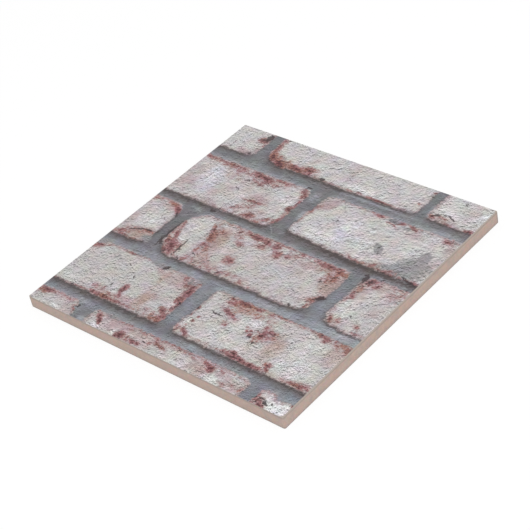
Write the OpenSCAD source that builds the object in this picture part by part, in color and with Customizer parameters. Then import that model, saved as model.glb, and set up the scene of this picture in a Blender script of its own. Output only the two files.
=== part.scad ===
// Brick-effect wall tile: one square of dust-pressed clay, glazed, printed and fired as one piece.
// The clay is pressed with keying pockets in its back, and its glazed face rolls over at the edge.
//
// Millimetres, +Z up. The tile lies on its back with the printed face up. The origin is the middle
// of the back, on the plane of the ribs. X runs along the printed brick courses, and +Y is the way
// that is up once the tile is on a wall.

/* [Tile] */
// Side of the square
tile_side = 152.4; // [108:0.1:203.2]
// Thickness, from the ribs on the back to the face
tile_thickness = 6.35; // [5:0.05:12.7]
// Radius of the four upright corners, seen from above
corner_radius = 0.8; // [0.5:0.1:6]
// Radius of the glaze where it rolls over the edge of the face
glaze_roll = 0.3; // [0.2:0.05:0.9]
// Bevel round the foot of the tile, across and up
foot_bevel = 0.2; // [0.2:0.05:0.9]

/* [Keyed back] */
// Keying pockets along each side of the grid; an even number crosses two ribs under the middle
pocket_rows = 8; // [4:2:12]
// Width of the plain rim outside the pockets
rim_width = 9.7; // [6:0.1:14]
// Width of the ribs between pockets
rib_width = 3; // [2:0.1:4.5]
// Depth of the pockets
pocket_depth = 0.5; // [0.3:0.05:0.8]
// Radius of each pocket's corners
pocket_corner = 1; // [0.5:0.05:2]

/* [Hidden] */

$fn = 64;

CLAY = [0.70, 0.62, 0.58];

// How far the straight sides run, between the rounded corners
straight = tile_side - 2 * corner_radius;
// From the tile's middle to the axis of an upright corner
corner_axis = tile_side / 2 - corner_radius;

// The pockets share what the rim and the ribs leave of the side
pocket_side = (tile_side - 2 * rim_width - (pocket_rows - 1) * rib_width) / pocket_rows;
pocket_pitch = pocket_side + rib_width;

// The cuts start this far under the back, so that they open cleanly through it
CLEAR = 1;

// Half of the tile's section, from its middle at x = 0 out to an edge at x = reach
module half_section(reach) {
    roll_axis = [reach - glaze_roll, tile_thickness - glaze_roll];
    polygon([
        [0, 0],
        [reach - foot_bevel, 0],
        [reach, foot_bevel],
        [reach, roll_axis.y],
        roll_axis,
        [roll_axis.x, tile_thickness],
        [0, tile_thickness]
    ]);
    intersection() {
        translate(roll_axis) circle(r = glaze_roll);
        translate(roll_axis) square(glaze_roll);
    }
}

// The full width of the tile along one way, as long as the straight part of its sides
module straight_band() {
    rotate([90, 0, 0])
        linear_extrude(height = straight, center = true) {
            half_section(tile_side / 2);
            mirror([1, 0]) half_section(tile_side / 2);
        }
}

// One upright corner, turned about its own axis with the same edge as the sides
module turned_corner() {
    rotate_extrude() half_section(corner_radius);
}

// The pressed and glazed blank, before its back is keyed
module blank() {
    straight_band();
    rotate([0, 0, 90]) straight_band();
    for (x = [-corner_axis, corner_axis], y = [-corner_axis, corner_axis])
        translate([x, y, 0]) turned_corner();
}

// A square with rounded corners, centred on the origin
module rounded_square(side, radius) {
    square([side, side - 2 * radius], center = true);
    square([side - 2 * radius, side], center = true);
    for (x = [-1, 1], y = [-1, 1])
        translate([x, y] * (side / 2 - radius)) circle(r = radius);
}

// One keying pocket, cut up into the back
module keying_pocket() {
    translate([0, 0, -CLEAR])
        linear_extrude(height = pocket_depth + CLEAR)
            rounded_square(pocket_side, pocket_corner);
}

// The grid of pockets, which leaves ribs between them and a plain rim round them
module keying_grid() {
    first = -(pocket_rows - 1) / 2 * pocket_pitch;
    for (column = [0 : pocket_rows - 1], row = [0 : pocket_rows - 1])
        translate([first + column * pocket_pitch, first + row * pocket_pitch, 0])
            keying_pocket();
}

module tile() {
    color(CLAY)
        difference() {
            blank();
            keying_grid();
        }
}

tile();
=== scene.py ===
"""The looks of a brick-effect wall tile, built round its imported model.

The tile is one square of pressed clay. Its face is glazed, and a picture of whitewashed brickwork is
printed in the glaze. Lengths are in millimetres until MM turns them into metres.
"""
import math
from functools import reduce

import bpy
from mathutils import Matrix, Vector, noise


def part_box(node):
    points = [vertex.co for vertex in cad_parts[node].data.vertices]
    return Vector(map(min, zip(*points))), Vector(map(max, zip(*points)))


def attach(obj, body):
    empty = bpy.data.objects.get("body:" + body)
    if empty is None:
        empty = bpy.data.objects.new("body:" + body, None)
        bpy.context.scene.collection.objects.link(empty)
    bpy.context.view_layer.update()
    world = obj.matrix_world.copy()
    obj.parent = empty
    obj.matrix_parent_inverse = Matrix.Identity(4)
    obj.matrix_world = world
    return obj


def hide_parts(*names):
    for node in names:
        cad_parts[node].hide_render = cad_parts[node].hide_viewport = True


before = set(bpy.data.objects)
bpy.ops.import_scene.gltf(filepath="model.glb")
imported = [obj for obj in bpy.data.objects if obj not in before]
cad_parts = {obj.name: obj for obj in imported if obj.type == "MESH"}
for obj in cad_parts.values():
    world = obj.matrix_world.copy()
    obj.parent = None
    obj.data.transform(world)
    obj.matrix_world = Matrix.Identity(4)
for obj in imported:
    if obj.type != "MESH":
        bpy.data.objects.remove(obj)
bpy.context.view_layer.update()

MM = 0.001


def place_object(name, data):
    made = bpy.data.objects.new(name, data)
    bpy.context.collection.objects.link(made)
    return made


# The tile

TILE_LOW, TILE_HIGH = (Vector(corner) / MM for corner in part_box("tile"))
SIDE = TILE_HIGH.x - TILE_LOW.x
THICKNESS = TILE_HIGH.z - TILE_LOW.z
CORNER = 0.8  # radius of the upright corners
FOOT_BEVEL = 0.2
FOOT_STRIP = 0.05  # strip over the bevel, which keeps it crisp
EDGE_MARGIN = 0.15  # flat strip between the edge's own curve and the grid of the face or the back
EDGE_WAVER = 0.04  # how far the pressed sides wander inwards
WAVER_LENGTH = 14
WAVER_SQUEEZE = 3  # how much shorter the waver is upwards

# The glaze
GLAZE_ROLL = 0.3  # radius of the glaze where it rolls over the edge
GLAZE_FOOT = 5.85  # height at which the glaze ends on the sides
GLAZE_NICK = 0.06  # depth of the fine line between glaze and clay
NICK_BELOW, NICK_ABOVE = 0.06, 0.07  # how far that line reaches down and up
GLAZE_LEDGE = 0.01  # how far the glaze starts inside the clay
PRINT_CORNER = 2  # radius of the print's own corners
PRINT_GAP = 0.5  # how far from the right side the print ends

# The keying pockets in the back
POCKET_ROWS = 8
RIM = 9.7  # plain rim round the pockets
RIB = 3
POCKET = (SIDE - 2 * RIM - (POCKET_ROWS - 1) * RIB) / POCKET_ROWS  # side of one pocket
POCKET_DEPTH = 0.5
POCKET_CORNER = 1
POCKET_DRAFT = 0.35  # how far a pocket's walls lean in

# How finely the tile is modelled
CORNER_STEPS = 10
ROLL_STEPS = 8
SIDE_LEVELS = (0.15, 0.35, 0.55, 0.75, 0.9)  # shares of the clay's height on the sides
WALL_STEPS = (0, 0.12, 0.25, POCKET_DRAFT, 0.6, POCKET_CORNER)  # from a pocket's edge inwards
MIDDLE_RING = 6  # the edge's ring that lengths along the sides are measured on


def side_stations():
    """Places along a side, from corner to corner, that suit the keying pockets."""
    axis = SIDE / 2 - CORNER
    stations = {-axis, axis}
    for row in range(POCKET_ROWS):
        start = RIM - SIDE / 2 + row * (POCKET + RIB)
        stations.update(start + step for step in WALL_STEPS)
        stations.update(start + POCKET - step for step in WALL_STEPS)
        inner = POCKET - 2 * POCKET_CORNER
        stations.update(start + POCKET_CORNER + inner * quarter / 4 for quarter in (1, 2, 3))
        stations.add(start + POCKET + RIB / 2)
    plain = SIDE / 2 - RIM - axis
    stations.update(sign * (axis + plain * third / 3) for sign in (-1, 1) for third in (1, 2))
    return sorted(round(station, 4) for station in stations if abs(station) <= axis)


def face_height(x, y):
    """Height of the face, which is flat."""
    return THICKNESS


def pocket_height(x, y):
    """Height of the back at one point: 0 on the ribs and the rim, and higher in the pockets."""
    pitch = POCKET + RIB
    span = POCKET_ROWS * pitch / 2
    if max(abs(x), abs(y)) > span:
        return 0.0
    reach = []
    for place in (x, y):
        from_middle = (place + span) % pitch - pitch / 2
        reach.append(abs(from_middle) - POCKET / 2 + POCKET_CORNER)
    outside = math.hypot(max(reach[0], 0), max(reach[1], 0))
    depth_in = POCKET_CORNER - outside - min(max(reach), 0)
    share = min(max(depth_in / POCKET_DRAFT, 0), 1)
    return POCKET_DEPTH * share * share * (3 - 2 * share)


def edge_profile():
    """The tile's edge as (inset from the side, height), from the back round to the face."""
    points = [(FOOT_BEVEL + EDGE_MARGIN, 0), (FOOT_BEVEL, 0), (0, FOOT_BEVEL)]
    points.append((0, FOOT_BEVEL + FOOT_STRIP))
    rise = GLAZE_FOOT - FOOT_BEVEL
    points += [(0, FOOT_BEVEL + rise * share) for share in SIDE_LEVELS]
    points += [(0, GLAZE_FOOT - NICK_BELOW), (GLAZE_NICK, GLAZE_FOOT)]
    points.append((GLAZE_LEDGE, GLAZE_FOOT + NICK_ABOVE))
    roll_height = THICKNESS - GLAZE_ROLL
    for step in range(ROLL_STEPS + 1):
        angle = math.pi / 2 * step / ROLL_STEPS
        inset = GLAZE_ROLL * (1 - math.cos(angle))
        points.append((inset, roll_height + GLAZE_ROLL * math.sin(angle)))
    points.append((GLAZE_ROLL + EDGE_MARGIN, THICKNESS))
    return points


def outline(stations, inset):
    """The tile's outline, this far in from its sides, as (x, y, outward x, outward y) anticlockwise."""
    axis = SIDE / 2 - CORNER
    radius = CORNER - inset
    points = []
    for quarter in range(4):
        turn = Matrix.Rotation(quarter * math.pi / 2, 2)
        run = [(Vector((place, -axis - radius)), Vector((0, -1))) for place in stations]
        for step in range(1, CORNER_STEPS):
            angle = math.pi / 2 * (step / CORNER_STEPS - 1)
            outward = Vector((math.cos(angle), math.sin(angle)))
            run.append((Vector((axis, -axis)) + radius * outward, outward))
        points += [(*(turn @ place), *(turn @ outward)) for place, outward in run]
    return points


def waver(x, y, z):
    """How far the pressed side wanders inwards at one point."""
    place = Vector((x, y, WAVER_SQUEEZE * z)) / WAVER_LENGTH
    return EDGE_WAVER * (0.5 + 0.5 * noise.noise(place))


# Where each part of the surface lies on the map that its finish is baked to

FACE_SHARE = 0.75  # the face's side on that map
GAP = 0.005  # room between the parts


def face_chart(place):
    share = FACE_SHARE / SIDE
    return GAP + (place[0] + SIDE / 2) * share, 1 - GAP - (SIDE / 2 - place[1]) * share


def back_chart(place):
    share = (1 - FACE_SHARE - 3 * GAP) / SIDE
    return 1 - GAP - (place[0] + SIDE / 2) * share, GAP + (place[1] + SIDE / 2) * share


def edge_chart(strip, along, up):
    """The four sides lie as strips above each other, with a little room past the corners and the roll."""
    pitch = (1 - FACE_SHARE - 3 * GAP) / 4
    across = GAP + along * FACE_SHARE / (SIDE + CORNER)
    return across, GAP + pitch * strip + up * (pitch - GAP) / (THICKNESS + 1)


GLAZED, BARE_CLAY = 0, 1  # the two finishes on the tile's mesh


class Skin:
    """The tile's surface as it grows: corners, faces, each face's finish and its place on the map.

    Rings of corners run round the tile, one for each point of the edge's profile. The face and the
    back are grids that are sewn to the last ring and the first.
    """

    def __init__(self, stations, profile):
        self.stations = stations
        self.profile = profile
        self.run = len(stations) + CORNER_STEPS - 1  # ring corners to a side and the turn after it
        self.ring_size = 4 * self.run
        self.places, self.faces, self.finishes, self.charts = [], [], [], []

    def add_face(self, corners, finish, chart):
        self.faces.append(tuple(corners))
        self.finishes.append(finish)
        self.charts.append(chart)

    def at_ring(self, level, step):
        return level * self.ring_size + step % self.ring_size

    def lengths_along(self, level):
        """How far along a ring each of its corners is."""
        lengths = [0.0]
        for step in range(self.ring_size):
            near, far = (Vector(self.places[self.at_ring(level, k)]) for k in (step, step + 1))
            lengths.append(lengths[-1] + (far - near).length)
        return lengths

    def heights_up(self):
        """How far along the edge's profile each of its points is."""
        heights = [0.0]
        for (near_in, near_up), (far_in, far_up) in zip(self.profile, self.profile[1:]):
            heights.append(heights[-1] + math.hypot(far_in - near_in, far_up - near_up))
        return heights

    def add_edge(self):
        """The four sides with their corners, the bevel round the foot and the glaze's roll."""
        for inset, height in self.profile:
            for x, y, outward_x, outward_y in outline(self.stations, inset):
                push = waver(x, y, height)
                self.places.append((x - push * outward_x, y - push * outward_y, height))
        lengths = self.lengths_along(MIDDLE_RING)
        heights = self.heights_up()
        for level in range(len(self.profile) - 1):
            finish = GLAZED if self.profile[level][1] >= GLAZE_FOOT else BARE_CLAY
            low, high = heights[level], heights[level + 1]
            for step in range(self.ring_size):
                corners = (self.at_ring(level, step), self.at_ring(level, step + 1),
                           self.at_ring(level + 1, step + 1), self.at_ring(level + 1, step))
                strip = step // self.run
                start = lengths[strip * self.run]
                near, far = lengths[step] - start, lengths[step + 1] - start
                spots = ((near, low), (far, low), (far, high), (near, high))
                self.add_face(corners, finish, [edge_chart(strip, along, up) for along, up in spots])

    def add_flat(self, level, height_at, finish, chart_at):
        """The face or the back: a grid of corners, sewn to one of the edge's rings."""
        count = len(self.stations)
        last = count - 1
        first = len(self.places)
        self.places += [(x, y, height_at(x, y)) for y in self.stations for x in self.stations]

        def at_grid(column, row):
            return first + row * count + column

        cells = []
        for row in range(last):
            for column in range(last):
                near_side = [at_grid(column, row), at_grid(column + 1, row)]
                far_side = [at_grid(column + 1, row + 1), at_grid(column, row + 1)]
                cells.append(near_side + far_side)
        borders = [
            [at_grid(k, 0) for k in range(count)],
            [at_grid(last, k) for k in range(count)],
            [at_grid(last - k, last) for k in range(count)],
            [at_grid(0, last - k) for k in range(count)]]
        for quarter, border in enumerate(borders):
            start = quarter * self.run
            for k in range(self.run):
                seam = [self.at_ring(level, start + k), self.at_ring(level, start + k + 1)]
                cells.append(seam + ([border[k + 1], border[k]] if k < last else [border[last]]))
        for cell in cells:
            corners = cell if finish == GLAZED else cell[::-1]
            self.add_face(corners, finish, [chart_at(self.places[corner]) for corner in corners])

    def to_object(self, name, materials):
        """The surface as a new object in the scene, with its finishes and its map."""
        foot = Vector((0, 0, TILE_LOW.z * MM))
        mesh = bpy.data.meshes.new(name)
        mesh.from_pydata([Vector(place) * MM + foot for place in self.places], [], self.faces)
        for material in materials:
            mesh.materials.append(material)
        mesh.polygons.foreach_set("material_index", self.finishes)
        layer = mesh.uv_layers.new(name="OFBake")
        layer.uv.foreach_set("vector", [
            number for chart in self.charts for corner in chart for number in corner])
        mesh.shade_smooth()
        mesh.validate()
        return place_object(name, mesh)


def make_tile(glaze, clay):
    """The pressed tile as one closed mesh: the sides, the glazed face and the keyed back."""
    profile = edge_profile()
    skin = Skin(side_stations(), profile)
    skin.add_edge()
    skin.add_flat(len(profile) - 1, face_height, GLAZED, face_chart)
    skin.add_flat(0, pocket_height, BARE_CLAY, back_chart)
    return skin.to_object("printed_tile", (glaze, clay))


# Shader maths

def is_number(side):
    """Whether one side of a sum is a number, its own or a node's, and not a vector or a colour."""
    if isinstance(side, Wire):
        return side.socket.type == "VALUE"
    return not isinstance(side, tuple)


def as_vector(side):
    return side if isinstance(side, (Wire, tuple)) else (side,) * 3


class Wire:
    """An output of a node, which shader maths can be written with.

    Without a socket it is only a place to start adding nodes to a tree.
    """

    def __init__(self, tree, socket=None):
        self.tree = tree
        self.socket = socket

    def add(self, kind, settings=None, inputs=None, output=0):
        """Adds a node of one kind, with its settings first and then its inputs' values or links."""
        node = self.tree.nodes.new(kind)
        for name, value in (settings or {}).items():
            setattr(node, name, value)
        for name, value in (inputs or {}).items():
            if isinstance(value, Wire):
                self.tree.links.new(value.socket, node.inputs[name])
            else:
                node.inputs[name].default_value = value
        return Wire(self.tree, node.outputs[output]) if node.outputs else None

    def join(self, operation, first, second):
        """One sum: with Math on numbers, and with Vector Math where either side is a vector or colour."""
        if is_number(first) and is_number(second):
            return self.add("ShaderNodeMath", {"operation": operation}, {0: first, 1: second})
        sides = {0: as_vector(first), 1: as_vector(second)}
        return self.add("ShaderNodeVectorMath", {"operation": operation}, sides)

    def __add__(self, other):
        return self.join("ADD", self, other)

    __radd__ = __add__

    def __sub__(self, other):
        return self.join("SUBTRACT", self, other)

    def __rsub__(self, other):
        return self.join("SUBTRACT", other, self)

    def __mul__(self, other):
        return self.join("MULTIPLY", self, other)

    __rmul__ = __mul__

    def larger(self, other):
        return self.join("MAXIMUM", self, other)

    def smaller(self, other):
        return self.join("MINIMUM", self, other)

    def math(self, operation):
        """A sum on one number, such as its root."""
        return self.add("ShaderNodeMath", {"operation": operation}, {0: self})

    def part(self, axis):
        return self.add("ShaderNodeSeparateXYZ", inputs={"Vector": self}, output=axis)

    def step(self, start, end):
        """0 up to start and 1 from end, with a smooth rise or fall between them."""
        return self.add("ShaderNodeMapRange", {"interpolation_type": "SMOOTHSTEP"},
                        {"Value": self, "From Min": start, "From Max": end})

    def seen_from(self, x, y, turn=0, length=1, width=1):
        """The same place, measured from a turned and stretched pair of axes at x, y."""
        return self.add("ShaderNodeMapping", {"vector_type": "TEXTURE"}, {
            "Vector": self, "Location": (x, y, 0), "Rotation": (0, 0, math.radians(turn)),
            "Scale": (length, width, 1)})

    def soft_noise(self, scale, detail=2, roughness=0.5, flat=True, output="Fac"):
        """Soft noise from 0 to 1, over a flat print or all through the clay."""
        return self.add("ShaderNodeTexNoise", {"noise_dimensions": "2D" if flat else "3D"}, {
            "Vector": self, "Scale": scale, "Detail": detail, "Roughness": roughness}, output)

    def speckle(self, size, seed, detail=2, roughness=0.5):
        """Even noise about 0, with blotches of this size. Each seed gives its own."""
        place = self.seen_from(17.3 * seed, -31.7 * seed)
        return place.soft_noise(1 / size, detail, roughness) - 0.5

    def blend(self, first, second):
        """The first colour where this share is 0, and the second where it is 1."""
        first, second = (side if isinstance(side, Wire) else (*side, 1) for side in (first, second))
        return self.add("ShaderNodeMix", {"data_type": "RGBA"}, {0: self, 6: first, 7: second}, output=2)

    def towards(self, colour, share, at_most=None):
        """This colour, mixed with another by a share from 0 to 1, which can be held down."""
        share = share if at_most is None else share * at_most
        return share.blend(self, colour)

    def through(self, name, work):
        """A number worked out from this place, in a group of nodes that is made only once."""
        group = bpy.data.node_groups.get(name)
        if group is None:
            group = bpy.data.node_groups.new(name, "ShaderNodeTree")
            group.interface.new_socket("Place", in_out="INPUT", socket_type="NodeSocketVector")
            group.interface.new_socket("Number", in_out="OUTPUT", socket_type="NodeSocketFloat")
            number = work(Wire(group).add("NodeGroupInput"))
            number.add("NodeGroupOutput", inputs={"Number": number})
        return self.add("ShaderNodeGroup", {"node_tree": group}, {"Place": self})


def ink(red, green, blue):
    """A colour given from 0 to 255, as light."""
    def light(level):
        share = level / 255
        return share / 12.92 if share <= 0.04045 else ((share + 0.055) / 1.055) ** 2.4
    return light(red), light(green), light(blue)


# Colours of the print

WASH = ink(192, 188, 188)
LOW_WASH = ink(185, 181, 180)
PINK_WASH = ink(173, 155, 156)
LILAC_WASH = ink(196, 193, 204)
WHITE_WASH = ink(217, 216, 217)
OCHRE = ink(160, 134, 124)
WORN_EDGE = ink(152, 134, 136)
STAIN = ink(163, 139, 138)
BARE_BRICK = ink(145, 102, 103)
RUSTY_BRICK = ink(148, 105, 94)
DEEP_BRICK = ink(86, 45, 47)
SOOT = ink(56, 42, 45)
FOOT_LINE = ink(80, 55, 54)
PIT = ink(108, 90, 94)
MORTAR_DARK = ink(66, 55, 54)
MORTAR_SHADE = ink(97, 91, 93)
MORTAR_MID = ink(112, 113, 116)
MORTAR_COOL = ink(122, 124, 131)
MORTAR_PALE = ink(138, 139, 144)
MORTAR_CHALK = ink(150, 152, 159)
CEMENT = ink(134, 132, 135)
GLAZE = ink(170, 158, 149)

# Colours of the clay on the sides and the back
CLAY_BUFF = ink(196, 175, 163)
CLAY_GREY = ink(186, 168, 160)
CLAY_ROSE = ink(201, 171, 160)
# painted shade on the clay under the glaze, at the foot and on two corners
CLAY_PAINTED_SHADE = ink(134, 124, 118)

# The print. Places on it are in millimetres from its lower left corner.

OUTLINE_WANDER = 3  # how far the bricks' outlines and the dark marks wander from their drawn places
UNDER_BRICK = 2.6  # how far below a brick the joint lies in its shade
OVER_BRICK = 3  # how far above a brick the joint catches the light
JOINT_TURN = (60, 95)  # heights between which the joints' tone and grain change, going up
WASH_TURN = (50, 95)  # the same for the whitewash

# Boxes that make up the bricks' outlines: left, right, foot, head, radius of the corners, turn
BRICKS = (
    # Head course
    (-12, 21.8, 132.2, 170, 5, 0), (27.8, 100, 132.5, 170, 9.5, 0), (35.5, 45, 131.5, 145, 3, 0),
    (60, 120.8, 132.4, 170, 4, 0), (72, 114, 131.9, 150, 3, 0), (126.1, 170, 132.3, 170, 4, -1),
    # Fourth course
    (-12, 67.8, 91.9, 118, 9, 0), (-12, 67.8, 105, 124.6, 4, 0), (75, 90, 97, 113, 3, 0),
    (75.4, 125, 93.2, 116, 3, -3.5), (76, 170, 95.5, 125.4, 5, 0), (110, 170, 92, 120, 2, 0),
    # Middle course
    (-12, 20.6, 54.3, 86.4, 6, 0), (27, 100, 53.5, 86.6, 12.5, 0), (70, 118.8, 53.9, 75, 7, 0),
    (70, 121.4, 64, 85.8, 3, 0), (92, 111, 53.2, 70, 3, 0), (127.8, 170, 53.4, 76, 7, 0),
    (128, 170, 60, 87.2, 5, 0), (137, 170, 52.3, 80, 3, 0),
    # Second course
    (-12, 67.2, 16, 47.6, 2.5, 0), (74.6, 100, 17, 28, 2, 0), (75.4, 170, 15.5, 47.3, 2.5, 0),
    # Foot course
    (-12, 25.5, -12, 9.8, 3, 0), (0, 27.2, -12, 5, 2, 0), (35.6, 128, -12, 9.7, 2.5, 0),
    (76, 127, -12, 10.2, 2, 0), (134.2, 170, -12, 6.4, 2.5, 0), (134.6, 143, -12, 9.2, 2.5, 0),
    (145, 170, -12, 8.7, 2, 7),
)

# Marks on the print, from the head course down: x, y, half length, half width, turn, strength

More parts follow.
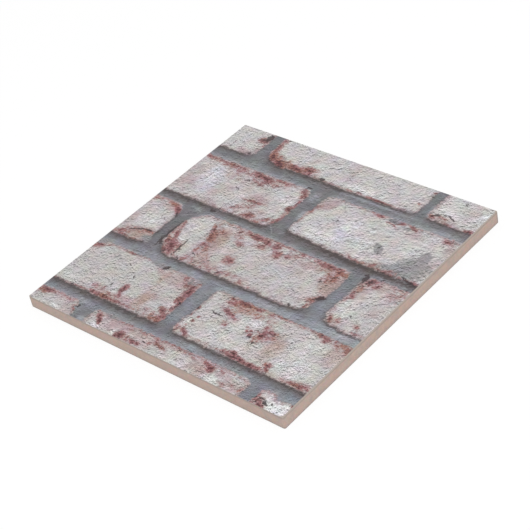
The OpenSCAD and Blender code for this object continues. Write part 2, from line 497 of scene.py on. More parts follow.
# Bare brick, where the whitewash has come off
BARE = (
    # Head course
    (18.8, 145.6, 2.6, 1.8, 10, 1.4), (21, 145, 10, 0.8, 90, 0.5), (28.3, 145, 9, 1.2, 85, 0.75),
    (29.3, 144, 6.5, 1.5, 90, 1), (32, 137, 4, 2.2, -35, 1.4), (36, 136, 9, 2.8, -14, 0.95),
    (38.5, 134, 4.2, 2.2, -25, 1.6), (46, 134.8, 5, 1.8, 0, 1), (46, 136, 3, 1.1, 0, 1.25),
    (47, 134.3, 4, 1.5, 5, 1.1), (49, 134.5, 4, 1.5, 0, 1.5), (52.5, 133.2, 5, 1, 0, 1),
    (54, 134.5, 6, 2.2, 5, 0.9), (55, 136.5, 4, 2.2, 10, 1.15), (60, 134, 2, 0.8, -20, 0.7),
    (75, 133, 30, 0.5, 0, 0.55), (87, 133.6, 1.2, 0.5, 0, 0.9), (88, 132.6, 10, 0.5, 0, 0.45),
    (100, 132.6, 6.5, 0.7, 0, 1.3), (118, 140, 1, 0.6, 0, 0.8), (120, 150, 1.2, 0.7, 0, 0.9),
    (128.5, 135.2, 1.8, 1, -10, 1), (134, 136.2, 4.5, 1.8, 0, 0.6), (137.5, 133, 3, 1, -10, 0.95),
    (149.8, 133.4, 2.6, 1.1, 0, 1.2),
    # Fourth course
    (3, 122.8, 4, 1.3, -8, 0.95), (10, 123.3, 3.5, 0.7, 0, 0.9), (10.5, 122.3, 6, 2, 0, 0.6),
    (14, 122.8, 14, 1.2, 0, 0.9), (18, 122.3, 4.5, 1.6, 0, 1), (24, 117, 5, 3, 0, 0.45),
    (25, 122.8, 3, 1.1, 0, 1), (26, 121, 6, 2.5, 0, 0.55), (35, 123, 3.5, 1.3, -10, 1.15),
    (39.5, 116.8, 4, 2, -20, 0.8), (39.5, 121.6, 7, 1.7, -9, 1.4), (40, 92.6, 18, 0.6, 0, 0.25),
    (42, 98.5, 1.5, 0.8, 30, 0.7), (42, 120.7, 8.5, 2.8, -6, 0.9), (43, 97, 4, 3, 0, 0.55),
    (45, 97.5, 4, 2.5, 0, 0.5), (47, 101, 5, 4, 0, 0.45), (47, 103, 3, 1.2, 0, 0.6),
    (48, 104.3, 5, 0.9, 2, 1.15), (49, 123, 7, 1.1, 0, 0.9), (51.5, 94.7, 3.2, 2, 10, 1.1),
    (53, 122.5, 3, 1.5, 20, 0.75), (56, 124, 4, 0.8, 5, 0.7), (57, 93, 3, 1, 10, 0.9),
    (62, 96.5, 4, 1.5, 25, 0.85), (65.5, 120.5, 4, 2, -60, 1), (66.3, 108, 2, 1.8, 0, 1.4),
    (66.5, 92.5, 2.5, 1.5, 20, 0.8), (66.5, 98, 3, 1.2, 80, 1.1), (67, 104.5, 1.5, 4, 0, 0.8),
    (67, 108, 14, 1, 90, 0.75), (67, 114, 3, 1, -80, 0.9), (67.2, 103, 3, 0.9, -80, 0.9),
    (76, 110, 10, 0.7, 85, 0.45), (76.2, 112.5, 1.2, 1.8, 0, 1), (77, 116, 2.5, 1.5, 50, 0.7),
    (103, 125.2, 2, 0.6, 0, 0.8), (108, 124.3, 2.6, 1.1, -5, 1), (112, 94, 2, 1, -30, 0.6),
    (114, 122.4, 1.6, 0.8, 0, 0.9), (117, 121.5, 3, 0.6, -25, 0.6), (118, 92.8, 3, 0.8, 0, 0.95),
    (119.5, 124, 2.4, 0.9, 10, 1.3), (125.5, 94, 3, 1.2, 10, 1), (126, 124, 2.6, 1, -20, 1.2),
    (128.5, 122.8, 1.2, 0.8, -30, 0.8), (130, 93, 20, 0.9, -1, 0.8), (135, 92, 6, 0.5, 0, 0.9),
    (136, 94.2, 4, 1.4, 10, 1), (146, 92, 5, 0.9, 0, 1.4), (146, 123.2, 2.8, 1.3, -10, 1.1),
    (149.6, 92, 3, 1.5, 0, 0.8), (150.5, 123.8, 1.5, 0.4, 0, 0.8),
    # Middle course
    (3, 84.5, 3, 1.2, 10, 0.7), (4, 57, 5, 1.6, 20, 0.95), (8, 55, 10, 0.8, 0, 0.75),
    (8, 85.6, 10, 0.8, -5, 0.65), (12, 61, 8, 2.2, 15, 0.7), (13, 54.8, 3, 0.8, 0, 0.9),
    (13.5, 84.6, 4, 1.2, -12, 1), (16, 63, 4, 1, 3, 0.95), (18.3, 82.2, 2.5, 1.6, -50, 1.35),
    (28, 68, 10, 1, -80, 0.5), (28.7, 74.5, 3.5, 1.1, -65, 0.95), (30, 62.5, 3.2, 1.3, -62, 1.2),
    (31, 67, 4.5, 1.1, -64, 1.1), (33, 56.5, 3, 1.5, -35, 1.2), (34.2, 60, 4.8, 2.4, -58, 1.4),
    (37.8, 60, 1.8, 4, 0, 0.9), (44.9, 78.6, 3.6, 1.2, -62, 1.25), (46, 56, 2.5, 1, 20, 0.8),
    (47, 65, 3, 1.2, 80, 0.8), (47, 74, 4.5, 1.6, -68, 1.3), (47.5, 68, 3, 1.3, 90, 0.9),
    (47.8, 73, 11, 2.2, -73, 0.92), (49, 68, 10, 4, -78, 0.5), (49.5, 57.5, 5, 2, 0, 0.6),
    (50, 79, 4, 1.6, -20, 0.6), (53, 62, 3, 2.5, 0, 0.55), (55, 58, 8, 3, -15, 0.5),
    (57.5, 83.8, 1.6, 1, 45, 1), (58, 82, 4, 3, 0, 0.6), (60, 54.8, 26, 0.8, 0, 0.5),
    (62, 76.8, 3, 1.6, -10, 0.65), (62.5, 66.5, 1.5, 1, 0, 0.6), (66, 65, 3, 2.4, 0, 1),
    (66, 85.8, 9, 0.5, 0, 0.8), (67, 84.2, 7, 1.6, 0, 1.25), (70, 56.5, 10, 2.2, 0, 0.65),
    (73, 80.5, 5, 3, 0, 0.6), (73, 83.5, 4, 1.6, -20, 1.15), (79, 83.5, 3, 2, 0, 1),
    (80, 55.5, 1.8, 1.6, 60, 0.85), (83, 79.5, 2.5, 2.2, -40, 1), (85, 85.6, 36, 0.9, 0, 0.7),
    (88.5, 80.5, 1.8, 1.5, 0, 0.75), (91, 82, 4, 2, 0, 0.65), (92, 86.2, 6, 0.5, 0, 0.7),
    (94.5, 84.5, 2, 1.2, -50, 0.8), (101.5, 84, 1.8, 0.8, 0, 0.85), (109, 80.5, 5, 2, 0, 0.45),
    (109, 83.3, 8, 2.2, -5, 0.95), (110, 84.2, 5, 1.3, -8, 1.25), (112.5, 80.8, 2, 1, -30, 0.7),
    (114.5, 76, 7, 3, -65, 0.65), (115, 84.8, 3, 0.8, 0, 1.1), (116, 78.5, 3, 2.8, 90, 0.8),
    (116.5, 62, 1.6, 2, 90, 1.05), (116.7, 82.5, 3, 1.7, 0, 1.2), (117, 58.4, 2.2, 1.2, 90, 0.8),
    (119.5, 64.8, 2.2, 1.1, 20, 1.4), (130, 78, 9, 1.2, 85, 0.75), (130.8, 73, 2, 1.3, 90, 1.1),
    (131.3, 79, 3, 1.2, 80, 1.05), (131.5, 57, 2.5, 1.2, -60, 0.9), (131.5, 84, 4, 1.5, 60, 1.1),
    (132.5, 85, 4, 2, 50, 1.1), (133, 86, 3, 1, 0, 1.1), (135, 56.8, 2.5, 1.5, -30, 0.75),
    (136.5, 83, 2, 1.5, 60, 0.8), (145, 57.5, 2, 1.3, -40, 0.8), (147, 54, 3, 0.8, 0, 0.8),
    (148, 81, 5, 4, 0, 0.55), (149, 85.5, 3, 1.5, 0, 0.7), (150, 85, 2.5, 1, 0, 0.6),
    (150, 87, 3, 1, 0, 0.75),
    # Second course
    (3, 44, 3.2, 1.5, 25, 1), (7.5, 45.5, 2.5, 1, 25, 0.8), (16, 16.8, 4, 0.5, 0, 0.8),
    (22, 47, 3.5, 0.9, 5, 0.85), (24, 17.8, 3, 0.8, 10, 0.9), (25.5, 21, 3.6, 2.2, 0, 0.7),
    (30.5, 18, 2.5, 1, -10, 1.15), (33, 19.5, 5, 1.8, 0, 0.6), (34, 17.5, 11, 1, 3, 1.2),
    (36.4, 25.8, 1.2, 2.6, 0, 1.45), (37.5, 21.5, 1.3, 2.2, 0, 0.85), (38, 17.5, 28, 0.9, 2, 0.65),
    (44, 18, 2, 0.8, -20, 0.95), (44, 44.4, 3, 2, 0, 0.35), (52, 19.5, 7, 2.5, 0, 0.4),
    (58, 45.3, 1.5, 1.2, -50, 1.1), (61, 19.5, 3, 2, 0, 0.7), (61.5, 42.5, 3, 1.9, -45, 1.15),
    (62, 18, 3.5, 1.5, 30, 0.9), (63, 24.2, 2.3, 1.6, 0, 1.1), (64.3, 42.2, 2, 1.5, 0, 1.3),
    (65, 20, 2, 4, 0, 1), (65, 33.5, 1.8, 2.5, 0, 1.3), (65, 38.5, 2, 5, 0, 1.35),
    (65.8, 21.3, 1.7, 2.4, 0, 1.2), (66, 30, 15, 1.3, 90, 0.8), (75.5, 16.8, 1.5, 0.8, 0, 0.8),
    (75.8, 33.2, 1.4, 0.8, 80, 1.3), (76, 19, 1.8, 0.9, -50, 0.9), (76, 28.6, 1, 0.6, 90, 1),
    (77, 19.5, 1.5, 1, 0, 0.7), (78.5, 22.4, 0.6, 0.5, 0, 1), (79.5, 25.6, 0.9, 0.8, 0, 1),
    (80, 28.6, 0.8, 0.6, 60, 1), (81.5, 18, 3, 1.2, -35, 1.05), (86, 45.7, 2.5, 1, 0, 1),
    (88, 43.3, 3, 1.1, 0, 1.1), (89, 43, 3, 1.5, 0, 1.1), (89.5, 38, 2.8, 1.4, -25, 1.15),
    (91, 38, 6, 3, -25, 0.55), (92.5, 37.5, 1.4, 0.7, 0, 1.2), (92.8, 31.6, 2, 1.6, 0, 0.6),
    (93.3, 36.8, 1.3, 0.9, 0, 1), (93.5, 45.6, 5, 1.5, 0, 1.3), (94, 31, 0.8, 0.8, 0, 1.1),
    (100, 43, 12, 3, 0, 0.55), (101, 45.6, 2.5, 1, 0, 1.15), (103.6, 34.6, 0.8, 0.6, 0, 1),
    (105, 32.6, 0.8, 0.8, 0, 1.1), (106, 32.6, 3, 2, -40, 0.5), (106.8, 33.4, 0.7, 0.6, 0, 1),
    (107.5, 17.5, 3, 1.5, 0, 1), (107.5, 45.5, 2.2, 1.6, 30, 0.8), (107.8, 31.2, 1, 1, 0, 1.2),
    (109.3, 18.8, 2, 1.3, -20, 1.4), (110, 46.8, 34, 0.9, 0, 0.6), (110.3, 17, 3, 1, 0, 1.45),
    (111.5, 38, 1.2, 2, -20, 0.95), (112.5, 33, 1.8, 2.6, -30, 1.3), (113, 30, 3, 2, 0, 0.6),
    (113, 35, 5, 3, 20, 0.6), (114, 17.3, 4, 1.2, -10, 1.3), (114, 17.3, 36, 0.8, 0, 0.45),
    (115, 36.5, 4, 1.2, 12, 1.05), (116.5, 33.5, 2.5, 1.6, 20, 0.9), (118.5, 47.5, 2, 0.6, 0, 0.8),
    (120.5, 16.9, 5, 1.1, 3, 1.35), (127, 20.5, 1.8, 1.3, 0, 1.2), (128, 18, 1, 1.5, 30, 1),
    (131, 47, 3, 0.7, 0, 0.85), (136, 46.6, 4.5, 1.4, 0, 0.95), (139, 45.5, 2, 2, -30, 1.1),
    (143.5, 47, 2, 0.8, 0, 0.8), (145, 17.3, 5, 1.1, 5, 1.15), (146, 44, 4, 2.5, 0, 0.55),
    (147, 45.8, 1.6, 1.6, 90, 1), (149, 18.3, 5, 1.8, 0, 0.7), (150, 45, 3, 2, 0, 0.95),
    (151, 17.8, 2, 1, 0, 1), (151.5, 44, 3, 1, 90, 0.9),
    # Foot course
    (4.5, 7.5, 4.5, 1.6, 20, 1.15), (10, 9, 14, 0.8, 0, 0.55), (12, 8, 3, 1.2, 0, 0.5),
    (19, 8.5, 3, 1, -10, 0.6), (25, 5, 2, 1, -40, 0.8), (37, 8.8, 1.2, 0.4, -30, 0.7),
    (39.8, 7.3, 1.6, 1.4, -30, 1.3), (42, 4.6, 1.9, 1, -55, 1.4), (57.2, 2.2, 2.4, 1.9, 10, 1.5),
    (59.5, 7.2, 2.5, 0.9, 15, 0.6), (60.8, 2.6, 0.8, 1.4, -20, 0.9), (61, 1.4, 5, 1.5, 0, 0.7),
    (64.5, 2, 2.6, 1, -15, 1.1), (66, 8.6, 2.5, 1, -20, 0.7), (68, 2, 1.6, 1.2, 0, 1.1),
    (69, 6, 9, 4, 0, 0.3), (73, 5, 1.4, 1.2, 0, 0.7), (76.8, 6.4, 3.8, 1.5, -10, 0.9),
    (80, 9.4, 44, 1.1, 0, 0.62), (83, 9.9, 12, 0.7, 0, 0.95), (84.5, 9.8, 3, 0.6, 0, 0.9),
    (96.5, 8, 2, 1, 0, 0.7), (102, 4.5, 5, 4, 0, 0.3), (104.5, 8, 3, 1.2, -15, 1.1),
    (107.3, 6.8, 2.4, 1.7, -20, 1.2), (113, 7.8, 1.5, 0.8, -40, 0.8), (117.5, 2.5, 2, 2, 0, 0.6),
    (121, 4, 3, 1.5, 0, 0.55), (126.5, 4, 1.5, 1.5, 0, 0.8), (135, 4, 5, 1, 90, 0.8),
    (136.4, 2.5, 2.5, 2, 0, 1.05), (138.8, 1, 2.4, 1.6, 0, 1.2), (149.5, 9, 1.6, 0.7, -15, 0.9),
    (151.3, 7, 1.5, 0.6, -70, 0.8),
)

# Thin dark cracks, chips and soot spots
DARK = (
    # Head course
    (18, 146.6, 1.5, 0.5, 20, 1), (18.7, 133.8, 1.2, 0.7, 20, 1), (20, 148.8, 1.4, 2.1, 0, 1.6),
    (31.5, 134.6, 3, 0.8, -30, 0.6), (65.2, 133.8, 1.3, 0.8, 0, 1.7), (120.4, 147, 0.5, 0.5, 0, 1.1),
    (130, 137, 2.6, 0.45, 35, 1), (134, 138.7, 2, 0.45, 5, 1), (138, 137.7, 2.2, 0.4, -25, 0.9),
    (138, 149.5, 0.6, 1, 20, 0.8), (143.8, 139.8, 0.6, 0.4, 0, 0.6),
    # Fourth course
    (32.5, 116.3, 2, 0.6, 5, 0.9), (33, 109, 1.8, 0.9, -30, 0.7), (34, 89.8, 1.6, 0.9, 10, 1),
    (64.5, 125.6, 1, 0.6, 0, 1.6), (67.5, 115, 0.5, 0.5, 0, 0.9), (91.6, 112.3, 0.8, 0.6, 0, 1),
    (100, 115.8, 0.5, 0.4, 0, 0.9), (115, 123.6, 2.5, 0.5, 0, 0.7), (120.5, 105.5, 1.2, 0.4, -40, 0.8),
    (122.5, 102, 1.4, 0.4, -60, 0.8), (147, 92.4, 3.5, 0.6, -15, 1.2),
    # Middle course
    (8, 60.3, 1.8, 0.5, 35, 1), (12, 62.3, 2.5, 0.5, 25, 1), (17, 63.6, 3.4, 0.5, 2, 1),
    (20, 79, 1.3, 0.7, -60, 1), (26.7, 67, 0.7, 8, 0, 0.95), (27.3, 61, 3, 0.6, -60, 0.9),
    (27.6, 59.5, 0.5, 3.5, 25, 0.75), (38.6, 61, 6, 0.45, 92, 1), (39.2, 60, 1, 0.7, 0, 1),
    (43, 54.5, 1.5, 0.6, -30, 1), (48, 60.6, 0.9, 0.6, -20, 1), (110, 54.8, 0.9, 0.7, -40, 1),
    (112, 74.5, 0.8, 0.6, -50, 0.9), (119.8, 65, 1.9, 1, 25, 1.7), (127.8, 87.5, 1.5, 0.7, 30, 0.9),
    (129, 84.5, 0.9, 3, 0, 1), (132.5, 84.4, 2.4, 1, 50, 0.75), (136.3, 87.8, 1, 0.5, 30, 1),
    (138, 62.4, 0.7, 0.6, 0, 1.1),
    # Second course
    (12.2, 16.6, 0.8, 0.5, 0, 1), (26.8, 40.3, 0.9, 0.4, 0, 0.8), (28.6, 20, 0.5, 0.4, 0, 0.9),
    (29, 25.7, 0.7, 0.7, 0, 1), (34.7, 34.5, 0.5, 0.8, 0, 0.9), (44, 46.8, 1.6, 0.9, 45, 1.1),
    (66, 31.4, 0.7, 0.5, 0, 1), (66.6, 29.5, 0.7, 1.6, 0, 0.8), (76, 33.3, 0.7, 1.3, 30, 0.7),
    (85.6, 34.4, 2.5, 0.45, -8, 1.2), (108, 30, 1, 0.6, 0, 1), (112, 28, 0.9, 0.6, 0, 0.8),
    # Foot course
    (26.3, 7, 0.8, 1, 0, 0.8), (70, 4, 0.8, 0.5, 0, 1), (136.6, 1.8, 0.5, 0.5, 0, 0.7),
    (138, 4.2, 1.5, 0.5, -5, 0.95), (140.6, 3, 1.6, 0.6, -28, 1.2), (143.7, 3.8, 0.5, 0.4, 0, 0.9),
)

# Grey cement smeared over the bricks
SMEARS = (
    (118, 133, 3, 1.5, 0, 0.7), (68.5, 92, 3.5, 0.5, -45, 0.8), (74, 92, 3.8, 0.5, 38, 0.8),
    (115.5, 124, 3, 1.2, 0, 1.2), (121, 104.4, 3, 1.7, -50, 1.5), (123, 122, 7, 2.2, -6, 0.65),
    (130.5, 119, 4, 2, 0, 0.5), (133, 96.5, 6, 2.5, 20, 0.9), (142.3, 100, 7.5, 7, 0, 1.1),
    (143.5, 107.5, 3.2, 6, 0, 1), (19.5, 58.3, 3.2, 2, -20, 1), (24, 81, 3, 2.5, 0, 0.6),
    (1.5, 46.8, 4.5, 1.5, 22, 1.3), (17.5, 41.7, 4, 2.5, 0, 0.6), (40.5, 46.8, 5.5, 1.3, -5, 1.2),
    (62, 44.6, 5, 2, 0, 0.7), (65, 46.5, 3, 1, 10, 1), (46.5, 9.2, 5, 1, 0, 0.85),
)

# Darker joints
DAMP = (
    (58, 132, 20, 1.5, 0, 0.5), (75, 130.5, 5, 2.8, 0, 1.25), (24.8, 90.9, 4, 1.5, 0, 1.3),
    (30, 89.5, 45, 3.5, 0, 0.6), (63, 91, 6, 3, 0, 1.1), (70, 92, 6, 3, 0, 0.8), (72, 98, 3, 6, 0, 0.4),
    (73, 128, 5, 4, 0, 0.4), (76, 94.5, 2.5, 2.5, 0, 1), (76.5, 97, 1.5, 2, 0, 1.1),
    (120, 91, 45, 3.2, 0, 1.3), (128.9, 94.6, 4, 1.2, 0, 0.8), (4, 87.4, 5, 2, 0, 1.2),
    (6, 53, 8, 2, 0, 0.6), (10, 88, 14, 3, 0, 1.2), (20, 55.2, 3, 1.5, 0, 1.1),
    (23.5, 69, 5, 17, 0, 1.25), (114, 86.9, 4, 1, 0, 1), (120, 54, 3, 3, 0, 0.9),
    (139, 53.2, 5, 1.4, 0, 0.9), (141, 88, 15, 2.5, 0, 0.9), (150, 88, 4, 1.5, 0, 1.2),
    (30, 14, 45, 3, 0, 0.7), (69, 15, 6, 4, 0, 0.85), (110, 15.5, 5, 1, 0, 0.6),
    (140, 14.5, 25, 2, 0, 0.5), (31.5, 1.5, 4, 5, 0, 0.85),
)

# Chalky bloom on the joints
BLOOM = (
    (98, 129.8, 24, 1.3, 0, 0.7), (126, 138, 1.5, 4, 0, 0.8), (27, 127.6, 6, 1.5, 0, 0.4),
    (28, 127.3, 5, 2, 0, 0.6), (37, 91.5, 4, 1, 0, 0.6), (71, 121, 2.5, 3, 0, 0.7),
    (74.3, 107, 1.5, 4, 0, 0.9), (128, 126, 3, 1.2, 0, 0.7), (139, 127, 12, 1.5, 0, 0.6),
    (26.5, 87, 4, 1.8, 0, 0.5), (28, 51, 12, 2, 0, 0.5), (124, 62, 3, 12, 0, 0.3),
    (58, 50.3, 6, 1.5, 0, 0.6), (71, 33, 3, 14, 0, 0.3), (77, 47.6, 3, 1.5, 0, 0.8),
    (104, 49.8, 26, 2, 0, 0.7), (131.6, 48.2, 4, 1, 0, 0.9), (143, 50.4, 18, 2.2, 0, 1),
    (27, 10.5, 5, 2, 0, 0.6), (33.5, 1.7, 2, 2, 0, 1), (90, 10.4, 4, 1, 0, 0.6),
    (90, 12.6, 6, 1.8, 0, 0.6),
)

# Soft tints in the whitewash: where old pink paint, ochre, lilac and fresh white show
PINKISH = (
    # Head course
    (14, 134.5, 4, 2.5, 0, 1), (49, 135, 4, 3, 0, 0.4), (53, 145, 4, 5, 0, 0.5),
    (77, 143, 4, 10, 0, 0.6), (81, 151, 4, 3, 0, 0.5), (103, 142, 3, 8, 0, 0.5),
    (134, 134.5, 7, 3, 0, 0.8), (147, 146.5, 4, 4, 0, 0.5),
    # Fourth course
    (4, 104, 8, 14, 0, 0.65), (9.5, 103.5, 6, 5, 0, 0.9), (24, 104, 5, 5, 0, 0.5),
    (24.5, 107, 4, 4, 0, 0.6), (25, 97, 12, 5, 0, 0.45), (25, 102, 5, 4, 0, 0.75),
    (26, 95, 5, 3, 0, 0.7), (35, 112, 16, 8, 0, 0.6), (48, 107, 6, 5, 0, 0.9), (53, 104, 4, 4, 0, 0.5),
    (55, 100, 5, 4, 0, 0.7), (55, 101, 8, 8, 0, 0.4), (81, 120, 3, 4.5, -35, 1.4),
    (101, 121, 5, 3, 0, 0.6), (128.9, 96, 3, 1.5, 0, 1), (130.5, 119.5, 4, 3, 0, 0.6),
    (149.5, 108, 3, 14, 0, 0.5), (149.5, 119, 3, 4, 0, 0.8),
    # Middle course
    (2.5, 68, 4, 8, 0, 0.8), (14.1, 64.4, 5, 2, 5, 0.9), (16, 82.5, 10, 3, 0, 0.9),
    (56.5, 59, 7, 3.5, 0, 1), (62, 70, 14, 14, 0, 0.5), (95, 70, 24, 13, 0, 0.5),
    (100, 80, 5, 3, 0, 0.9), (115, 84, 4, 3, 0, 0.4), (132, 86, 4, 3, 0, 0.6), (134, 76, 3, 6, 0, 0.8),
    (137, 84, 8, 5, 0, 0.8), (146.5, 71, 4, 13, 0, 0.5), (147, 60, 4, 4, 0, 0.4),
    # Second course
    (17.5, 41.7, 5, 3, 0, 0.4), (39, 20.5, 10, 2.5, 0, 0.8), (53, 32, 7, 14, 0, 0.5),
    (54, 43, 10, 4, 0, 0.8), (56, 43, 7, 4, 0, 1.1), (143, 28, 4, 4, 0, 0.3),
    # Foot course
    (22, 4, 6, 6, 0, 0.7), (60, 6, 18, 5, 0, 1), (82, 9.4, 13, 2, 0, 1.6), (90, 6, 12, 5, 0, 0.15),
    (99.5, 5, 3, 4, 0, 0.9), (101, 3, 3, 3, 0, 0.7), (104, 3.4, 4, 3, 0, 0.7),
    (113, 5.6, 2, 1.5, 0, 1.2), (120, 5, 8, 5, 0, 0.45), (123, 3, 4, 3, 0, 0.7),
)
OCHRES = (
    (18, 138, 3, 5, 30, 0.5), (41, 135, 10, 4, -10, 0.6), (14, 59, 5.5, 3, 10, 1.2),
    (51, 76, 4.2, 8, 15, 1.1), (114, 78, 5, 3, -60, 0.8), (118.5, 72.5, 4, 7.5, 0, 1.25),
    (48, 38, 2.5, 8, 0, 0.6), (49.6, 25, 3.2, 6, -12, 1.1), (60, 18, 2.5, 1.5, 0, 0.9),
    (95, 42.5, 4.3, 2.6, 0, 1.35), (123, 30, 4, 8, 0, 1.1), (148, 38, 5, 8, 0, 0.9),
    (104, 5, 2, 5, 0, 0.6),
)
LILACS = (
    (86, 135, 20, 6, 0, 0.3), (15, 109.5, 4.6, 8.5, 0, 1.3), (100, 108, 5, 12, 0, 0.8),
    (95, 68, 9, 8, 20, 0.5), (99, 9.6, 13, 0.9, 0, 1.2), (121, 9, 5, 1.5, 0, 1),
)
WHITES = (
    # Head course
    (15, 138, 3, 3, 0, 0.4), (33, 151, 3, 2, 0, 0.6), (58, 139, 3, 3, 0, 0.7), (61, 137, 4, 4, 0, 0.3),
    (90, 136, 10, 3, 0, 0.8), (92, 134, 10, 2, 0, 0.6), (97, 131, 6, 2, 0, 0.3),
    (104, 143, 5, 7, 0, 0.4), (111, 133, 2, 0.8, 0, 0.8), (118, 151, 4, 2, 0, 0.4),
    (128, 141.5, 2.5, 7.5, 0, 0.7), (131, 141, 6, 6, 0, 0.5), (133, 139, 4, 4, 0, 0.5),
    (136, 140, 6, 3, 0, 0.85), (149, 141, 4, 5, 0, 0.5), (151, 146, 3, 4, 0, 0.8),
    # Fourth course
    (13, 111, 4, 8, 0, 0.4), (14.2, 109.5, 4, 5, 0, 0.5), (37, 106, 4, 3, 0, 0.5),
    (48.5, 117.5, 3, 2, 0, 0.6), (48.7, 119.6, 3, 1.2, 0, 0.7), (60, 112, 6, 5, 0, 0.45),
    (91, 99, 8, 4, 0, 0.8), (92, 101, 8, 5, 0, 0.4), (95, 98, 5, 4, 0, 0.3), (102, 112, 6, 6, 0, 0.6),
    (112, 113, 4, 4, 0, 0.5), (113, 104, 6, 6, 0, 0.5), (116.5, 96, 3, 3, 0, 0.5),
    (134, 110, 6, 8, 0, 0.45), (144, 111, 4, 5, 0, 0.4),
    # Middle course
    (11, 68, 7, 6, 0, 0.65), (35.4, 65, 2, 3, 30, 0.7), (36, 73, 5, 10, 20, 0.3),
    (36.2, 66, 1.5, 4, 30, 0.7), (47, 83.5, 3, 2, 0, 0.7), (59, 69.5, 4, 4, 0, 0.4),
    (110, 79.5, 2, 1, 0, 0.7), (115, 67, 4, 5, 0, 0.4), (131, 70, 2, 4, 0, 0.4), (134, 64, 4, 9, 0, 0.6),
    # Second course
    (9, 20, 7, 3, 0, 0.4), (20.5, 21, 3, 2, 0, 0.5), (32.5, 21.8, 3, 1.5, 0, 0.6),
    (64, 28, 1.5, 2, 0, 0.5), (76.5, 24, 2, 4, 0, 0.8), (78.2, 46, 2.5, 1, 0, 0.6),
    (79, 40, 3, 6, 0, 0.4), (86.5, 35.5, 3, 1.5, 0, 0.4), (89.5, 18, 5, 2, 0, 0.6),
    (98, 24, 16, 8, 0, 0.42), (101, 34, 8, 5, 0, 0.5), (101.5, 42, 2.5, 1.5, 0, 0.7),
    (105.5, 38, 3.5, 4.5, 0, 0.75), (109, 21.5, 3, 1.5, 0, 0.7), (125, 37, 3, 4, 0, 0.5),
    (136, 40, 7, 5, 0, 0.4), (138, 28, 14, 12, 0, 0.55), (147, 37, 4, 5, 0, 0.4),
    # Foot course
    (16.7, 1.5, 3, 1.5, 0, 0.8), (43, 1.5, 3, 2, 0, 0.8), (54, 1.5, 2, 2, 0, 0.7),
    (61.5, 4.5, 4, 1.5, 0, 0.5), (67, 4, 2.5, 1.2, 0, 0.6), (69, 5, 3, 3, 0, 0.3),
    (70, 5.5, 4, 3, 0, 0.6), (89, 1.5, 6, 2, 0, 0.7), (89, 4, 5, 4, 0, 0.45), (90, 5, 9, 3, 0, 0.5),
    (90, 8.5, 4, 1.2, 0, 0.6), (92, 12, 4, 2, 0, 0.3), (112, 2.4, 4, 2, 0, 0.9), (113, 2, 3, 2, 0, 0.5),
    (137.5, 7, 1.5, 2, 0, 0.6), (141.5, 6.5, 3, 3, 0, 0.9), (142, 7.2, 2.6, 1, -40, 1.4),
    (146.5, 3.5, 5.5, 4, 0, 1.4), (148, 7.6, 2.2, 0.8, 30, 1.3),
)


def turned_box(x, y, left, right, foot, head, corner, turn=0):
    """How far a spot lies outside a box with round corners, and below 0 how deep inside."""
    along, up = x - (left + right) / 2, y - (foot + head) / 2
    if turn:
        cosine, sine = math.cos(math.radians(turn)), math.sin(math.radians(turn))
        along, up = along * cosine + up * sine, up * cosine - along * sine
    across = along.math("ABSOLUTE") - ((right - left) / 2 - corner)
    upright = up.math("ABSOLUTE") - ((head - foot) / 2 - corner)
    beyond_across, beyond_upright = across.larger(0), upright.larger(0)
    outside = (beyond_across * beyond_across + beyond_upright * beyond_upright).math("SQRT")
    return outside + across.larger(upright).smaller(0) - corner


def brick_edge(spot):
    """How far a spot lies outside the nearest brick, and below 0 how deep inside."""
    def work(place):
        x, y = place.part("X"), place.part("Y")
        return reduce(Wire.smaller, (turned_box(x, y, *box) for box in BRICKS))
    return spot.through("brick_edge", work)


def field(spot, name, marks):
    """The strongest of some marks at a spot: a mark's strength in its middle, half of it at its edge."""
    def mark_at(place, x, y, length, width, turn, strength):
        ball = place.seen_from(x, y, turn, 2 * length, 2 * width)
        share = ball.add("ShaderNodeTexGradient", {"gradient_type": "SPHERICAL"}, {"Vector": ball}, "Fac")
        return share * strength

    def work(place):
        return reduce(Wire.larger, (mark_at(place, *mark) for mark in marks))
    return spot.through(name, work)


def relief(spot, size, seed, shift):
    """Light and shade on flaky grain that is lit from the print's upper left corner."""
    to_light = (-0.6 * shift, shift, 0)
    here = spot.speckle(size, seed, detail=4, roughness=0.6)
    nearer_light = (spot + to_light).speckle(size, seed, detail=4, roughness=0.6)
    return here.math("ABSOLUTE") - nearer_light.math("ABSOLUTE")


def mortar(spot, above, below):
    """Cement joints, dark under the brick above and paler over the brick below."""
    damp = field(spot, "damp", DAMP)
    middle = spot.part("Y").step(*JOINT_TURN).blend(MORTAR_COOL, MORTAR_MID)
    middle = middle.towards(MORTAR_SHADE, damp.step(0, 1), at_most=0.6)
    colour = (above - damp).step(-2.2, 2.2).blend(MORTAR_SHADE, middle)
    colour = colour.towards(MORTAR_PALE, below.step(0.2, -OVER_BRICK) * (1 - damp * 0.4))

    crust = spot.speckle(2.2, 12, detail=3, roughness=0.65)
    bloom = field(spot, "bloom", BLOOM) + crust * 0.6
    colour = colour.towards(MORTAR_CHALK, bloom.step(0.1, 0.9))
    dark = (damp + crust * 2.5 - above * 0.35).step(0.55, 1.5)
    lip = above.step(-UNDER_BRICK, -2.2) * (above + crust * 2).step(-1.3, -1.9)
    colour = colour.towards(MORTAR_DARK, dark.larger(lip * 0.8), at_most=0.8)
    return colour * (spot.speckle(5, 11, detail=3) * 0.45 + 1)


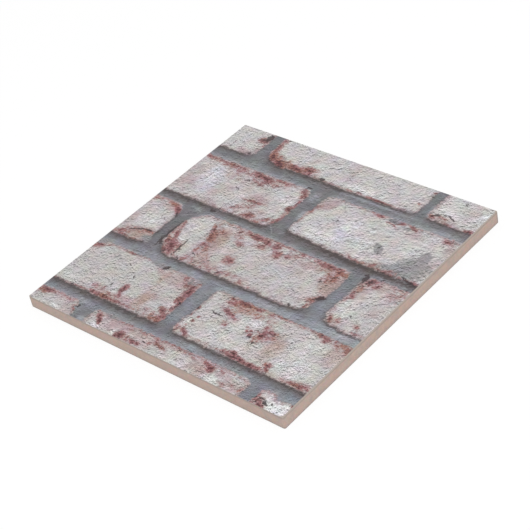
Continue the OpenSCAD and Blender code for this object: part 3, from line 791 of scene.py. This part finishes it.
def whitewash(spot, ochre, cloud, ragged):
    """The coat of whitewash, with its soft tints and the freshest white."""
    pinkish = field(spot, "pinkish", PINKISH) + cloud * 0.9 + ragged * 0.5
    lilacs = field(spot, "lilacs", LILACS)
    ochres = ochre + cloud * 0.6 + ragged * 0.8
    whites = field(spot, "whites", WHITES) + cloud * 0.8 + ragged * 0.9
    colour = spot.part("Y").step(*WASH_TURN).blend(LOW_WASH, WASH)
    colour = colour.towards(PINK_WASH, pinkish.step(0.15, 0.85))
    colour = colour.towards(LILAC_WASH, lilacs.step(0.1, 0.8), at_most=0.8)
    colour = colour.towards(OCHRE, ochres.step(0.2, 0.9), at_most=0.8)
    return colour.towards(WHITE_WASH, whites.step(0.1, 0.95))


def pitted(colour, spot):
    """Small pits and hairline cracks over a colour."""
    pits = spot.speckle(1.3, 25, detail=3, roughness=0.65) + spot.speckle(7, 26) * 0.4
    hairlines = spot.speckle(4, 33, detail=4, roughness=0.6).math("ABSOLUTE").step(0.014, 0)
    cracked_here = spot.speckle(5, 34, detail=3).step(0.02, 0.12)
    colour = colour.towards(PIT, pits.step(0.12, 0.28), at_most=0.75)
    return colour.towards(PIT, hairlines * cracked_here, at_most=0.8)


def bricks(spot, edge, above):
    """Old bricks under a worn coat of whitewash."""
    cloud = spot.speckle(9, 21, detail=3, roughness=0.6)
    ragged = spot.speckle(3.4, 22, detail=3, roughness=0.65)
    crumbs = spot.speckle(1.1, 28, detail=3, roughness=0.65)
    ochre = field(spot, "ochres", OCHRES)
    wash = whitewash(spot, ochre, cloud, ragged)
    worn = (edge + ragged * 5 + crumbs * 3).step(-2.6, 0.2)
    wash = wash.towards(WORN_EDGE, worn, at_most=0.75)

    rim = edge.step(-2.6, 0.3) * (above.step(-1, 0.5) * 0.2 + 0.1)
    patch = field(spot, "bare", BARE).larger(rim)
    torn = (ragged * 1.5 + crumbs * 1.5) * patch.step(-0.3, 0.45) * patch.step(1.7, 0.4)
    wear = patch + torn
    wash = wash.towards(STAIN, (patch + ragged * 0.9).step(0.04, 0.58), at_most=0.8)
    rust = spot.speckle(6, 30) + ochre * 0.5
    bare = rust.step(0, 0.25).blend(BARE_BRICK, RUSTY_BRICK)
    bare = bare.towards(DEEP_BRICK, (wear + spot.speckle(1.4, 23) * 1.8).step(0.65, 1.4))

    colour = pitted(wash.towards(bare, wear.step(0.38, 0.8)), spot)
    foot = (edge + crumbs * 2).step(-1.3, 0.2) * above.step(-1.2, -UNDER_BRICK)
    return colour.towards(FOOT_LINE, foot, at_most=0.6)


def fine_grain(spot, on_brick):
    """Brightness of the fine grain about 1, rougher on the bricks and higher up the print."""
    higher = spot.part("Y").step(*JOINT_TURN)
    roughness = (spot.speckle(6, 36, detail=3) * 3.5 + 1.6) * (on_brick * 0.35 + higher * 0.1 + 0.6)
    grain = relief(spot, 4, 35, shift=0.35) * 3.2 + relief(spot, 1.6, 24, shift=0.3) * 2.8
    grit = spot.speckle(0.45, 29, detail=1) * 0.8
    return ((grain + grit) * roughness.larger(0.3)).smaller(0.32) + 1


def brickwork(spot):
    """The printed picture: bricks, mortar, smears and cracks, with fine grain over all."""
    wander = spot.soft_noise(0.3, detail=4, roughness=0.7, output="Color")
    middle = OUTLINE_WANDER / 2
    rough = spot + wander * (OUTLINE_WANDER, OUTLINE_WANDER, 0) - (middle, middle, 0)
    edge = brick_edge(rough)
    above = brick_edge(rough + (0, UNDER_BRICK, 0))
    below = brick_edge(rough - (0, OVER_BRICK, 0))
    on_brick = (edge + spot.speckle(1.2, 38, detail=3, roughness=0.65) * 2.2).step(0.45, -0.55)
    picture = mortar(spot, above, below).towards(bricks(spot, edge, above), on_brick)

    ragged = spot.speckle(2.4, 31, detail=4, roughness=0.7)
    scribble = spot.speckle(0.9, 32, detail=3, roughness=0.65)
    smears = field(spot, "smears", SMEARS) + ragged * 0.9
    dark = field(rough, "dark", DARK) + ragged * 0.8 + scribble * 1.2
    picture = picture.towards(CEMENT, smears.step(0.35, 0.65), at_most=0.85)
    picture = picture.towards(SOOT, dark.step(0.32, 0.62), at_most=0.9)

    tint = spot.soft_noise(0.15, output="Color") * 0.22 + (0.89, 0.89, 0.89)
    return picture * tint * fine_grain(spot, on_brick)


# The finishes. Places on the print and through the clay are in millimetres.

SPECULAR = 0.3
GLAZE_ROUGHNESS = 0.46
GLAZE_RIPPLE = 0.0002  # height of the glaze's ripples in metres
CLAY_ROUGHNESS = 0.85
CLAY_SAND = 0.0001  # height of the clay's sand in metres
SAND_SIZE = 0.6  # size of its grains


def object_place(tree):
    """The place on the tile as its object gives it, in metres."""
    return Wire(tree).add("ShaderNodeTexCoord", output="Object")


def new_material(name):
    material = bpy.data.materials.new(name)
    material.use_nodes = True
    material.node_tree.nodes.clear()
    return material


def finish_with(place, colour, roughness, bump):
    """The surface of a material, joined to its output."""
    surface = place.add("ShaderNodeBsdfPrincipled", inputs={
        "Base Color": colour, "Roughness": roughness, "Specular IOR Level": SPECULAR, "Normal": bump})
    surface.add("ShaderNodeOutputMaterial", inputs={"Surface": surface})


def printed_glaze():
    """Satin glaze with the brickwork printed in it, bare where it rolls over the tile's edge."""
    material = new_material("printed_glaze")
    place = object_place(material.node_tree)
    spot = place * (1 / MM, 1 / MM, 0) - (TILE_LOW.x, TILE_LOW.y, 0)
    x, y = spot.part("X"), spot.part("Y")
    print_edge = turned_box(x, y, 0, SIDE - PRINT_GAP, 0, SIDE, PRINT_CORNER)
    past_print = (print_edge + spot.speckle(2.5, 41) * 0.3).step(-0.25, -0.05)
    colour = brickwork(spot).towards(GLAZE, past_print)
    roughness = spot.speckle(4, 42) * 0.1 + GLAZE_ROUGHNESS
    bump = spot.add("ShaderNodeBump", inputs={
        "Strength": 0.15, "Distance": GLAZE_RIPPLE, "Height": spot.soft_noise(0.35)})
    finish_with(spot, colour, roughness, bump)
    return material


def bare_clay():
    """Fired clay without glaze: a buff biscuit with fine sand in it, darker along its edges with painted
    shade.
    """
    material = new_material("bare_clay")
    place = object_place(material.node_tree) * (1 / MM, 1 / MM, 1 / MM)

    def grains(size, detail=2, shift=0):
        return (place + (shift, 0, 0)).soft_noise(1 / size, detail, flat=False) - 0.5

    # Painted shade on the clay: a dark strip under the glaze, the foot, and the two corners where x and y
    # have one sign
    height = place.part("Z") + grains(2) * 0.4
    painted_shade_under_glaze = height.step(GLAZE_FOOT - 0.6, GLAZE_FOOT - 0.2) * 0.35
    painted_shade_at_foot = height.step(0.75, 0.3) * 0.6
    reach = (place.part("X") + place.part("Y")).math("ABSOLUTE")
    painted_shade_at_corner = reach.step(SIDE - 1.3, SIDE - 0.8) * 0.6

    tone = grains(4, 3).step(-0.2, 0.1).blend(CLAY_GREY, CLAY_BUFF)
    tone = tone.towards(CLAY_ROSE, grains(5, 3, 40).step(-0.05, 0.2), at_most=0.8)
    # Painted shade: the clay turns greyer towards the foot
    tone = tone.towards(CLAY_GREY, height.step(2.5, 0.5), at_most=0.7)
    tone = tone.towards(CLAY_PAINTED_SHADE, painted_shade_under_glaze.larger(painted_shade_at_foot).larger(painted_shade_at_corner))
    sand = grains(SAND_SIZE)
    tint = place.soft_noise(0.6, 3, flat=False, output="Color") * 0.3 + (0.85, 0.85, 0.85)
    bump = place.add("ShaderNodeBump", inputs={"Strength": 0.4, "Distance": CLAY_SAND, "Height": sand})
    finish_with(place, tone * tint * (sand * 0.3 + 1), CLAY_ROUGHNESS, bump)
    return material


# The scene round the tile

CAMERA_TARGET = Vector((6.66, -5.52, THICKNESS))
CAMERA_AZIMUTH = 47.86
CAMERA_ELEVATION = 38.04
CAMERA_DISTANCE = 694.5
CAMERA_ROLL = -11.97
CAMERA_FIELD = 19.36
CAMERA_NEAR = 0.01  # metres
WHITE = (1, 1, 1, 1)
FLOOR_GREY = (0.8, 0.8, 0.8, 1)
FLOOR_HALF = 3  # metres
FLOOR_DROP = 0.02  # how far the floor lies under the tile
FLOOR_WHITENESS = 0.8  # how much of the floor's own look is plain white
FLOOR_GLOW = 1.05  # just over white, so that none of the background is grey
SKY_LIGHT = 0.7
LAMP_POWER = 12
LAMP_SIZE = 1.2
LAMP_PLACE = Vector((0.5, -0.3, 1.6))  # metres


def add_camera():
    """A camera that looks down on the tile across one corner, a little rolled."""
    data = bpy.data.cameras.new("camera")
    data.angle = math.radians(CAMERA_FIELD)
    data.clip_start = CAMERA_NEAR
    camera = place_object("camera", data)
    turn = (Matrix.Rotation(math.radians(CAMERA_AZIMUTH), 4, "Z")
            @ Matrix.Rotation(math.radians(90 - CAMERA_ELEVATION), 4, "X")
            @ Matrix.Rotation(math.radians(CAMERA_ROLL), 4, "Z"))
    back = turn @ Vector((0, 0, CAMERA_DISTANCE))
    camera.matrix_world = Matrix.Translation((CAMERA_TARGET + back) * MM) @ turn
    bpy.context.scene.camera = camera


def seen_white(tree):
    """1 for rays that show the background, from the camera or in a gloss, and 0 for light."""
    rays = ("Is Camera Ray", "Is Glossy Ray", "Is Transmission Ray")
    camera, glossy, clear = (Wire(tree).add("ShaderNodeLightPath", output=ray) for ray in rays)
    return camera.larger(glossy).larger(clear)


def add_floor():
    """A pale floor that keeps a faint shadow and otherwise looks white."""
    material = new_material("pale_floor")
    seen = seen_white(material.node_tree)
    lit = seen.add("ShaderNodeBsdfDiffuse", inputs={"Color": FLOOR_GREY})
    white = seen.add("ShaderNodeEmission", inputs={"Color": WHITE, "Strength": FLOOR_GLOW})
    surface = seen.add("ShaderNodeMixShader", inputs={0: seen * FLOOR_WHITENESS, 1: lit, 2: white})
    surface.add("ShaderNodeOutputMaterial", inputs={"Surface": surface})
    mesh = bpy.data.meshes.new("floor")
    corners = [(FLOOR_HALF * x, FLOOR_HALF * y, 0) for x, y in ((-1, -1), (1, -1), (1, 1), (-1, 1))]
    mesh.from_pydata(corners, [], [(0, 1, 2, 3)])
    mesh.materials.append(material)
    floor = place_object("floor", mesh)
    floor.location.z = (TILE_LOW.z - FLOOR_DROP) * MM


def add_sky():
    """Even soft light from all sides, behind a plain white background."""
    world = bpy.data.worlds.new("studio")
    world.use_nodes = True
    world.node_tree.nodes.clear()
    seen = seen_white(world.node_tree)
    soft = seen.add("ShaderNodeBackground", inputs={"Color": WHITE, "Strength": SKY_LIGHT})
    white = seen.add("ShaderNodeBackground", inputs={"Color": WHITE, "Strength": 1})
    surface = seen.add("ShaderNodeMixShader", inputs={0: seen, 1: soft, 2: white})
    surface.add("ShaderNodeOutputWorld", inputs={"Surface": surface})
    bpy.context.scene.world = world


def add_lamp():
    """A soft round lamp above the tile."""
    data = bpy.data.lights.new("softbox", "AREA")
    data.shape = "DISK"
    data.size = LAMP_SIZE
    data.energy = LAMP_POWER
    lamp = place_object("softbox", data)
    lamp.location = LAMP_PLACE
    lamp.rotation_euler = (-LAMP_PLACE).to_track_quat("-Z", "Y").to_euler()


add_camera()
tile = make_tile(printed_glaze(), bare_clay())
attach(tile, "root")
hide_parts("tile")
add_floor()
add_sky()
add_lamp()
bpy.context.scene.view_settings.view_transform = "Standard"
